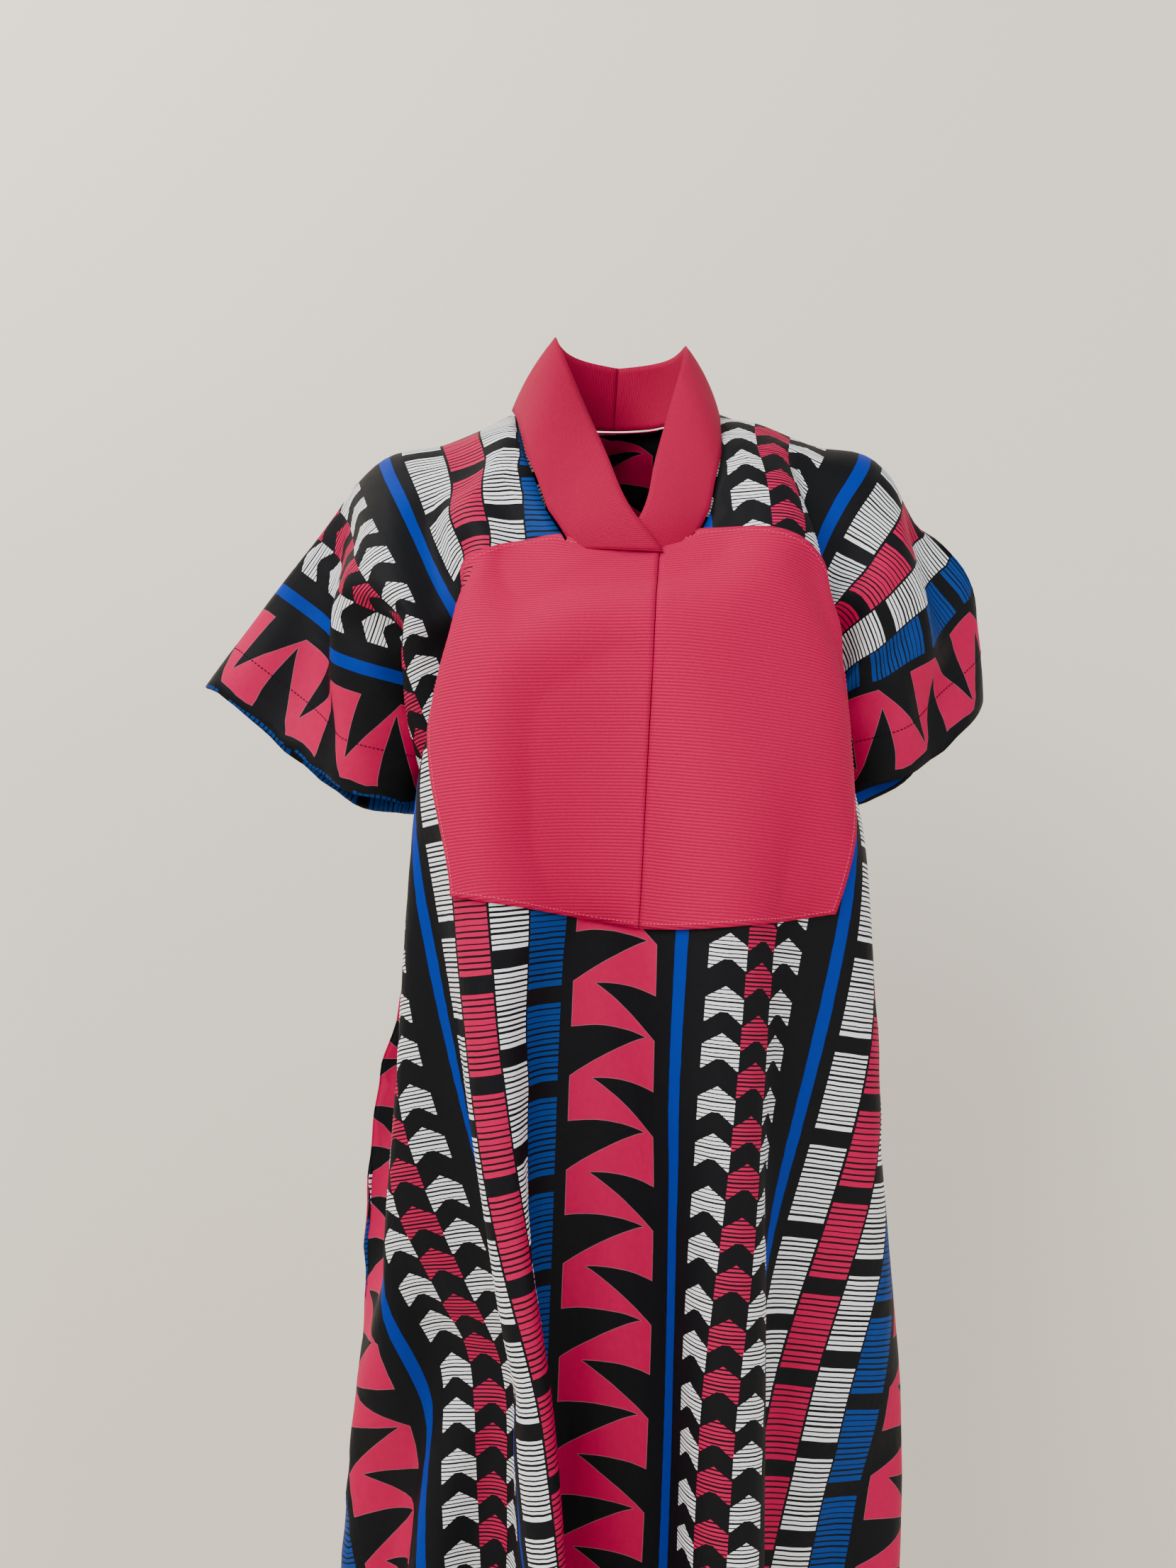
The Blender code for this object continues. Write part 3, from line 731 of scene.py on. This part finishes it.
def print_cotton():
    material, tree, shader = new_material("print_cotton", 0.62)
    vector, u, v = cloth_place(tree)
    wander = (noise(tree, vector, 55.0, 1.0) - 0.5) * 0.9
    across = (u * 1000.0 + PRINT_LEFT).mod(REPEAT)
    down = v * 1000.0 - PRINT_DOWN + wander
    colour = BLACK
    # the two blue stripes
    for low, high in STRIPES:
        colour = blend_colour(tree, (across + wander).between(low, high), colour, STRIPE_BLUE)
    # the zigzag
    share = across / ZIGZAG
    q = (share / ZIG_END).clip()
    y = (down / PERIOD + 0.1).mod(1.0) - 0.1
    top = q * 0.03 - q * (1 - q) * 0.14
    low = (1 - q).op("POWER", 1.2) * 0.485 + 0.03
    left = y.above(top) * y.below(low) * share.below(ZIG_END)
    near_left = (y - top).size().op("MINIMUM", (y - low).size() * 0.87)
    r = ((share - ZAG_START) / (1 - ZAG_START)).clip()
    z = (down / PERIOD - 0.4).mod(1.0) + 0.4
    top_r = r * 0.046 + 0.538 - r * (1 - r) * 0.12
    low_r = r.op("POWER", 1.08) * 0.512 + 0.538
    right = z.above(top_r) * z.below(low_r) * share.above(ZAG_START)
    near_right = (z - top_r).size().op("MINIMUM", (z - low_r).size() * 0.87)
    column = across.below(ZIGZAG)
    solid = column * (1 - left) * (1 - right)
    near_left = near_left + share.above(ZIG_END)
    near_right = near_right + share.below(ZAG_START)
    rim_side = across.op("MINIMUM", ZIGZAG - across) / PERIOD
    rim = near_left.op("MINIMUM", near_right).op("MINIMUM", rim_side).below(RIM)
    colour = blend_colour(tree, solid, colour, blend_colour(tree, rim, CRIMSON, CRIMSON_EDGE))
    # the chevrons, two to a period
    for low, high, ink, phase in CHEVRONS:
        s = (across - low) / (high - low)
        peak = 1 - (s * 2 - 1).size()
        for offset in CHEVRON_OFFSETS:
            h = ((down / PERIOD - phase - offset + 0.16).mod(1.0) - 0.16) * PERIOD
            house = h.above(peak * -CHEVRON_RISE) * h.below(CHEVRON_DROP - (peak / 0.8).clip() * 8.5)
            bar = (h + CHEVRON_RISE) / CHEVRON_BAR
            number = bar.op("FLOOR")
            duty = random_of(tree, number + 3.0, low) * 0.28 + 0.48
            lit = (bar - number).below(duty)
            colour = blend_colour(tree, house * lit * across.between(low, high), colour, ink)
    # the barred blocks
    for low, high, ink, phase, bars in BLOCKS:
        h = (down / PERIOD - phase).mod(1.0) / BLOCK_SHARE
        bar = h * bars
        number = bar.op("FLOOR")
        base = 0.50 if ink == WHITE else 0.62
        duty = random_of(tree, number + 7.0, low) * 0.22 + base
        duty = duty + number.above(bars - 1.5) * 0.25
        lit = (bar - number).below(duty)
        colour = blend_colour(tree, lit * h.below(1.0) * across.between(low, high), colour, ink)
    ink_wear = noise(tree, vector, 160.0, 3.0)
    shade = tree.nodes.new("ShaderNodeHueSaturation")
    tree.links.new(colour, shade.inputs["Color"])
    tree.links.new((ink_wear * 0.16 + 0.92).socket, shade.inputs["Value"])
    tree.links.new(shade.outputs[0], shader.inputs["Base Color"])
    threads = (u * 2600 * math.pi).op("SINE") + (v * 2600 * math.pi).op("SINE")
    crease = noise(tree, vector, 9.0, 3.0, (2.2, 0.8, 1))
    fine = noise(tree, vector, 38.0, 2.0, (1.6, 1.0, 1))
    add_bump(tree, shader, [(crease, 0.35, 0.010), (fine, 0.18, 0.003), (threads, 0.10, 0.0002)])
    return material


def rib_cloth(name, pitch, base):
    """Grosgrain: fine ribs across the cloth at this pitch, in metres, with painted shade darkening the
    grooves between them.
    """
    material, tree, shader = new_material(name, 0.70)
    vector, u, v = cloth_place(tree)
    sway = (noise(tree, vector, 26.0, 1.0) - 0.5) * 0.0007
    wave = ((v + sway) * (2 * math.pi / pitch)).op("SINE")
    ridge = wave * 0.5 + 0.5
    grain = noise(tree, vector, 420.0, 2.0, (1.0, 2.4, 1))
    # painted shade: the ridge wave darkens the colour in the grooves between the ribs; the grain noise is
    # random tone of the thread
    shade = ridge.op("POWER", 0.6) * 0.34 + grain * 0.30 + 0.52
    tint = tree.nodes.new("ShaderNodeHueSaturation")
    tint.inputs["Color"].default_value = base
    tree.links.new(shade.socket, tint.inputs["Value"])
    tree.links.new(tint.outputs[0], shader.inputs["Base Color"])
    shader.inputs["Sheen Weight"].default_value = 0.02
    threads = (u * 1900 * math.pi).op("SINE")
    soft = noise(tree, vector, 12.0, 2.0)
    add_bump(tree, shader, [(soft, 0.12, 0.006), (ridge, 0.55, 0.0006), (threads, 0.12, 0.00012)])
    return material


def thread_material(name, base):
    material, tree, shader = new_material(name, 0.55)
    place = tree.nodes.new("ShaderNodeTexCoord")
    grain = noise(tree, place.outputs["Object"], 2500.0, 1.0)
    tint = tree.nodes.new("ShaderNodeHueSaturation")
    tint.inputs["Color"].default_value = base
    tree.links.new((grain * 0.5 + 0.75).socket, tint.inputs["Value"])
    tree.links.new(tint.outputs[0], shader.inputs["Base Color"])
    return material


def plain_surface(name, base, roughness):
    material, tree, shader = new_material(name, roughness)
    shader.inputs["Base Color"].default_value = base
    place = tree.nodes.new("ShaderNodeTexCoord")
    add_bump(tree, shader, [(noise(tree, place.outputs["Object"], 14.0, 6.0), 0.10, 0.004)])
    return material


# ---------------------------------------------------------------- building
SEAM_PART = 0.00025  # how far each half of the bib stays from its middle seam
SEAM_DIP, SEAM_DIP_WIDTH = 0.0007, 0.0022
HEM_THREAD = 0.00035
BIB_ROWS, BIB_COLUMNS, BIB_ROUNDS = 90, 46, 160
BIB_RISE = (0.085, 0.060)  # how far across and down from its top middle the bib rises over the collar
COLLAR_STATIONS, COLLAR_BACK_STATIONS, COLLAR_RISE = 40, 26, 12
COLLAR_PEAK_ROW = 5
COLLAR_WIDTH = 0.058
COLLAR_LAYER, COLLAR_LAYER_SHARE = 0.0035, 0.34  # how far out, and over what share, the right band lies
COLLAR_ROLL, COLLAR_LIFT, COLLAR_UP = 0.003, 0.0020, 0.0018

cut = {face: triangulate(face) for face in ("front", "back")}
settled = dress(cut)
surface = {}
for face in ("front", "back"):
    flat, faces = cut[face]
    if face == "front":
        faces = faces[:, ::-1]
    points, flat, faces = refine(settled[face], flat, faces)
    surface[face] = Cloth(points, flat, faces)

printed = print_cotton()
rib_bib = rib_cloth("rib_bib", 0.00255, RIB_CRIMSON)
rib_collar = rib_cloth("rib_collar", 0.0015, COLLAR_CRIMSON)
crimson_thread = thread_material("crimson_thread", (0.72, 0.05, 0.13, 1))
black_thread = thread_material("black_thread", (0.006, 0.006, 0.008, 1))


def turned(face, width_of, name):
    """A turned-up hem inside a panel: the band's own points moved in, its print running on past the fold."""
    cloth = surface[face]
    depth, place = width_of(cloth.flat)
    keep = (depth[cloth.faces] > 0).all(axis=1)
    chosen = cloth.faces[keep]
    used, faces = np.unique(chosen, return_inverse=True)
    points = cloth.points[used] - cloth.normals[used] * (COTTON + HEM_GAP)
    return make(name, points, faces.reshape(-1, 3), place[used], printed, COTTON)


def sleeve_band(side):
    def width_of(flat):
        depth = flat[:, 0] * side - (HALF_SPAN - SLEEVE_HEM)
        place = flat.copy()
        place[:, 0] = side * (2 * HALF_SPAN - flat[:, 0] * side)
        return depth, place

    return width_of


def bottom_band(flat):
    edge = LENGTH - HEM_RISE * (flat[:, 0] / HEM_U) ** 2
    place = flat.copy()
    place[:, 1] = 2 * edge - flat[:, 1]
    return flat[:, 1] - (edge - BOTTOM_HEM), place


def stitch_lines():
    """The hems' stitch lines on a flat cut, each with its name."""
    lines = []
    for side, word in ((-1, "right"), (1, "left")):
        u = side * (HALF_SPAN - SLEEVE_HEM)
        lines.append(("cuff_" + word, [(u, v) for v in np.linspace(0.002, SLEEVE_DEPTH + 0.008, 60)]))
    across = np.linspace(-HEM_U + 0.008, HEM_U - 0.008, 160)
    lines.append(("hem", [(u, LENGTH - HEM_RISE * (u / HEM_U) ** 2 - BOTTOM_HEM) for u in across]))
    return lines


def build_panel(face):
    """The front or the back, with its turned hems and their stitches."""
    cloth = surface[face]
    body = make(face + "_cloth", cloth.points, cloth.faces, cloth.flat, printed, COTTON)
    extras = []
    for side, word in ((-1, "right"), (1, "left")):
        extras.append(turned(face, sleeve_band(side), face + "_cuff_turn_" + word))
    extras.append(turned(face, bottom_band, face + "_hem_turn"))
    for word, places in stitch_lines():
        points, normals = cloth.at(places)
        extras.append(stitches(face + "_stitch_" + word, points, normals, black_thread, radius=HEM_THREAD))
    return body, extras


def grid_normals(grid):
    normals = np.cross(np.gradient(grid, axis=0), np.gradient(grid, axis=1))
    normals /= np.maximum(np.linalg.norm(normals, axis=2, keepdims=True), 1e-12)
    return normals


def cut_area(places):
    """The area of a grid of flat-cut places, from the diagonals of its cells."""
    one, other = places[1:, 1:] - places[:-1, :-1], places[:-1, 1:] - places[1:, :-1]
    return float(np.abs(one[..., 0] * other[..., 1] - one[..., 1] * other[..., 0]).sum() / 2)


def bib_place(share, t):
    half = BIB["half_top"] + (BIB["half_bottom"] - BIB["half_top"]) * t
    bottom = BIB["point"] - (BIB["point"] - BIB["corner"]) * abs(share) ** BIB_EDGE_POWER
    top = BIB["top"] + BIB["drop"] * abs(share) ** BIB_TOP_POWER
    return BIB["centre"] + half * share, top + (bottom - top) * t


def bib_sheet():
    """The whole bib as a grid of points with its normals and its places on the flat cut."""
    shape = (BIB_ROWS + 1, 2 * BIB_COLUMNS + 1)
    across, downs = np.linspace(-1, 1, shape[1]), np.linspace(0, 1, shape[0])
    places = np.array([bib_place(share, t) for t in downs for share in across])
    cotton = surface["front"].at(places)[0].reshape(*shape, 3)
    grid = cotton
    for _ in range(BIB_ROUNDS):
        out = grid.copy()
        out[1:-1, 1:-1] = (grid[:-2, 1:-1] + grid[2:, 1:-1] + grid[1:-1, :-2] + grid[1:-1, 2:]) / 4
        grid = out
    normals = grid_normals(grid)
    if normals[20, BIB_COLUMNS, 1] > 0:
        normals = -normals
    near = np.maximum(np.abs(places[:, 0]) / BIB_RISE[0], (places[:, 1] - BIB["top"]) / BIB_RISE[1])
    lift = BIB_LIFT + BIB_OVER_COLLAR * (1 - smooth(near.reshape(shape)))
    clear = ((grid - cotton) * normals).sum(axis=2)
    lift = lift + np.maximum(0.0, -clear) * 0.9
    return grid + normals * lift[..., None], normals, places.reshape(*shape, 2)


def bib_path(word, rows, columns):
    """The topstitching's way round one half of the bib, as places in its grid."""
    inset_rows = np.arange(1, rows - 1)
    if word == "right":
        path = [(1, c) for c in range(columns - 1, 1, -1)] + [(r, 1) for r in inset_rows]
        return path + [(rows - 2, c) for c in range(2, columns)]
    outer = columns - 2
    path = [(1, c) for c in range(0, outer)] + [(r, outer) for r in inset_rows]
    return path + [(rows - 2, c) for c in range(outer - 1, -1, -1)]


def build_bib_half(word, bib, normals, places):
    half, facing = bib.copy(), normals
    half[:, -1 if word == "right" else 0, 0] += SEAM_PART if word == "left" else -SEAM_PART
    dip = np.exp(-(((places[..., 0] - BIB["centre"]) / SEAM_DIP_WIDTH) ** 2)) * SEAM_DIP
    half = half - facing * dip[..., None]
    rows, columns = half.shape[:2]
    name = "bib_" + word + "_cloth"
    maps = places.reshape(-1, 2)
    body = make(name, half.reshape(-1, 3), grid_faces(rows, columns), maps, rib_bib, RIB_WALL)
    if body.data.polygons[0].normal.y > 0:
        body.data.flip_normals()
    path = bib_path(word, rows, columns)
    line = np.array([half[r, c] for r, c in path])
    outward = np.array([facing[r, c] for r, c in path])
    return body, [stitches("bib_stitch_" + word, line, outward, crimson_thread)]


def build_collar(word, sign):
    """One band, from the neckline to its free edge, and its length."""
    fronts = np.linspace(COLLAR_FRONT_END, 1, COLLAR_STATIONS + 1) * NECK_U * sign
    backs = np.linspace(1, 0, COLLAR_BACK_STATIONS + 1)[1:] * NECK_U * sign
    sewn = []
    for across, face in ((fronts, "front"), (backs, "back")):
        down = np.array([neck_v(u, face) for u in across])
        sewn.append(unsewn(across, down, np.full(len(across), face == "back")))
    base = np.concatenate(sewn)
    edge = np.array(COLLAR_TOP[word] + [COLLAR_CENTRE_BACK])
    knots = np.concatenate([[0], np.cumsum(np.linalg.norm(np.diff(edge, axis=0), axis=1))])
    peak = knots[COLLAR_PEAK_ROW]
    before = np.linspace(0, peak, COLLAR_STATIONS + 1)
    places = np.concatenate([before, np.linspace(peak, knots[-1], COLLAR_BACK_STATIONS + 1)[1:]])
    top = np.stack([spline(knots, edge[:, axis], places) for axis in range(3)], axis=1)
    shares = np.linspace(0, 1, COLLAR_RISE + 1)[:, None, None]
    band = base + (top - base) * shares
    normals = grid_normals(band)
    if normals[0, 0, 1] > 0:
        normals = -normals
    normals[:, -1, 0] = 0.0
    normals /= np.linalg.norm(normals, axis=2, keepdims=True)
    upward = top - base
    upward /= np.linalg.norm(upward, axis=1, keepdims=True)
    layer = COLLAR_LAYER if word == "right" else 0.0
    over = 1 - smooth(places / places[-1] / COLLAR_LAYER_SHARE)
    raised = COLLAR_LIFT + layer * over[None, :, None]
    band = band + normals * (COLLAR_ROLL * 4 * shares * (1 - shares) + raised) + upward * COLLAR_UP
    rows, columns = band.shape[:2]
    along = np.concatenate([[0], np.cumsum(np.linalg.norm(np.diff(band[rows // 2], axis=0), axis=1))])
    maps = np.stack(np.broadcast_arrays(shares[:, :, 0] * COLLAR_WIDTH, along[None, :]), axis=2)
    name = "collar_" + word + "_cloth"
    band_faces = grid_faces(rows, columns)
    body = make(name, band.reshape(-1, 3), band_faces, maps.reshape(-1, 2), rib_collar, RIB_WALL)
    if np.array(body.data.polygons[0].normal) @ normals[0, 0] < 0:
        body.data.flip_normals()
    return body, float(along[-1])


pieces = {face: build_panel(face) for face in ("front", "back")}
bib, bib_normals, bib_flat = bib_sheet()
halves = {"right": slice(None, BIB_COLUMNS + 1), "left": slice(BIB_COLUMNS, None)}
for word, part in halves.items():
    pieces["bib_" + word] = build_bib_half(word, bib[:, part], bib_normals[:, part], bib_flat[:, part])
# Both collar bands are built; band_length ends with the left band's length and is not used further.
# Both collar sheets are stated with the left band's length.
for word, sign in (("right", -1), ("left", 1)):
    body, band_length = build_collar(word, sign)
    pieces["collar_" + word] = (body, [])

# ---------------------------------------------------------------- the row
for node, (body, extras) in pieces.items():
    group = [body] + extras
    for item in group:
        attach(item, "root")
    for item in group:
        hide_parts(node)
for face in ("front", "back"):
    body, extras = pieces[face]
    flat_area(face)
for word, part in halves.items():
    body, extras = pieces["bib_" + word]
    cut_area(bib_flat[:, part])
    body, extras = pieces["collar_" + word]

# ---------------------------------------------------------------- the room
FLOOR_Z, WALL_Y, ROOM = -1.42, 0.62, 4
WALL_TOP = 2.6
PLAIN = (0.88, 0.82, 0.71, 1)
CAMERA_BACK = 1.5
CAMERA_AT = (-0.032, -CAMERA_BACK, -0.307)
VIEW_HEIGHT = 1.283  # metres of the robe's own plane that the picture shows from top to bottom

floor_grey = plain_surface("studio_floor", PLAIN, 0.9)
wall_paint = plain_surface("studio_wall", PLAIN, 0.95)


def card(name, corners, material):
    mesh = bpy.data.meshes.new(name)
    mesh.from_pydata(corners, [], [(0, 1, 2, 3)])
    mesh.materials.append(material)
    thing = bpy.data.objects.new(name, mesh)
    bpy.context.scene.collection.objects.link(thing)
    return thing


flat_corners = [(-ROOM, -ROOM), (ROOM, -ROOM), (ROOM, ROOM), (-ROOM, ROOM)]
floor = card("floor", [(x, y, FLOOR_Z) for x, y in flat_corners], floor_grey)
wall_corners = [(-ROOM, FLOOR_Z), (ROOM, FLOOR_Z), (ROOM, WALL_TOP), (-ROOM, WALL_TOP)]
wall = card("wall", [(x, WALL_Y, z) for x, z in wall_corners], wall_paint)


def area_light(name, place, aim, size, power, colour=(1, 1, 1)):
    data = bpy.data.lights.new(name, "AREA")
    data.shape = "RECTANGLE"
    data.size, data.size_y = size
    data.energy = power
    data.color = colour
    lamp = bpy.data.objects.new(name, data)
    lamp.location = place
    lamp.rotation_euler = (Vector(aim) - Vector(place)).to_track_quat("-Z", "Y").to_euler()
    bpy.context.scene.collection.objects.link(lamp)


area_light("key", (-1.3, -2.2, 1.3), (0.0, 0.0, -0.5), (1.6, 1.6), 84, (1.0, 0.985, 0.96))
area_light("fill", (1.9, -1.9, 0.2), (0.0, 0.0, -0.6), (1.6, 2.0), 32, (0.96, 0.98, 1.0))
area_light("wall_light", (-1.6, -0.4, 1.6), (-0.6, 0.62, -0.1), (1.0, 1.0), 40, (1.0, 0.97, 0.92))
world = bpy.data.worlds.new("studio")
bpy.context.scene.world = world
world.use_nodes = True
world.node_tree.nodes["Background"].inputs[0].default_value = (0.93, 0.95, 1.0, 1)
world.node_tree.nodes["Background"].inputs[1].default_value = 0.55

camera_data = bpy.data.cameras.new("camera")
camera = bpy.data.objects.new("camera", camera_data)
camera.location = CAMERA_AT
camera.rotation_euler = (math.radians(90), 0, 0)
camera_data.sensor_fit = "VERTICAL"
camera_data.angle = 2 * math.atan(VIEW_HEIGHT / 2 / CAMERA_BACK)
camera_data.dof.use_dof = False
bpy.context.scene.collection.objects.link(camera)
bpy.context.scene.camera = camera
